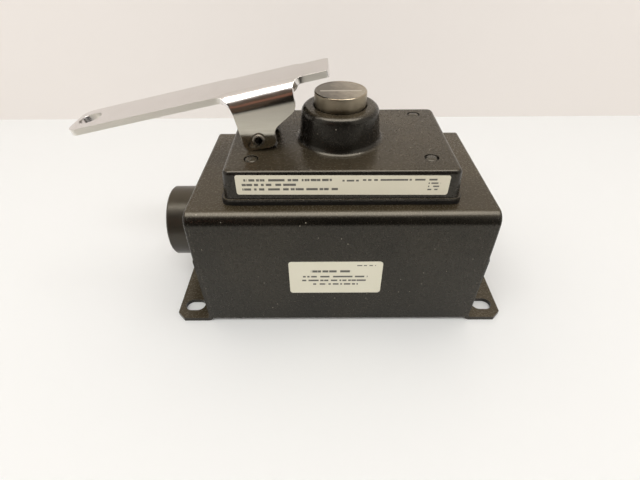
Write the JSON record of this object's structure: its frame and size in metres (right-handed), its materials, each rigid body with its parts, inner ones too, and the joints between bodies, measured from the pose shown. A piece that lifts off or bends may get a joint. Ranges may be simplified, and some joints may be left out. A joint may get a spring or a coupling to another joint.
{
  "type": "rope pull switch",
  "caption": "Rope pull switch: a pivoted rope lever presses a spring-returned push button in the cover of a flanged sheet-steel box with a side conduit hub.",
  "frame": {"origin": "centre of the four mounting slots, on the mounting plane", "axes": "+Z is the outward normal of the mounting plane, towards the button; +X runs along the box away from the conduit hub and the rope eye; +Y completes the right-handed frame"},
  "size_m": [0.2391, 0.0974, 0.1351],
  "materials": {
    "box_paint": "textured olive-black enamel",
    "hub_paint": "black enamel over turned steel",
    "cover_paint": "semi-gloss black enamel over a casting",
    "gasket_rubber": "matt",
    "dark_screw": "black oxide",
    "label_stock": "warm white label stock",
    "lever_chrome": "bright plate over stamped steel",
    "pin_steel": "oiled spring steel",
    "button_nickel": "worn nickel plate",
    "seal_rubber": "matt",
    "plain_steel": "turned",
    "bronze": "sintered",
    "spring_steel": "drawn wire",
    "ring_steel": "phosphated",
    "pad_fibre": "insulating fibre",
    "zinc_steel": "zinc plated",
    "block_moulding": "moulded",
    "plate_fibre": "pressed fibre sheet",
    "carrier_moulding": "moulded",
    "contact_copper": "copper alloy with silver tips",
    "terminal_brass": "nickel-plated brass",
    "ground_brass": "plain"
  },
  "bodies": {
    "enclosure": {"enclosure_shell": "box_paint", "left_end_panel": "box_paint", "right_end_panel": "box_paint", "conduit_hub": "hub_paint", "cover_gasket": "gasket_rubber", "cover": "cover_paint", "cover_screws": "dark_screw", "cover_label": "label_stock", "enclosure_label": "label_stock", "pivot_pin": "pin_steel", "button_seal": "seal_rubber", "guide_bushing": "bronze", "return_spring": "spring_steel", "block_standoffs": "zinc_steel", "contact_block": "block_moulding", "block_front_plate": "plate_fibre", "fixed_contacts": "contact_copper", "terminal_screws": "terminal_brass", "carrier_spring": "spring_steel", "block_screws": "zinc_steel", "ground_stud": "ground_brass", "ground_nut": "ground_brass"},
    "lever": {"lever": "lever_chrome"},
    "plunger": {"button": "button_nickel", "plunger_stem": "plain_steel", "stop_washer": "plain_steel", "retaining_ring": "ring_steel", "actuator_pad": "pad_fibre", "contact_carrier": "carrier_moulding", "contact_bridges": "contact_copper"}
  },
  "joints": [
    {"name": "lever_pivot", "type": "hinge", "parent": "enclosure", "child": "lever", "pos_m": [-0.0415, 0, 0.1035], "axis": [0, 1, 0], "range_deg": [0, 21.7]},
    {"name": "plunger_slide", "type": "slide", "parent": "enclosure", "child": "plunger", "axis": [0, 0, -1], "range_m": [0, 0.006], "stiffness_N_per_m": 900, "springref_m": -0.004, "deforming": ["return_spring", "carrier_spring"]}
  ],
  "couplings": [
    {"joint": "plunger_slide", "follows": "lever_pivot", "m_per_rad": 0.015842}
  ]
}
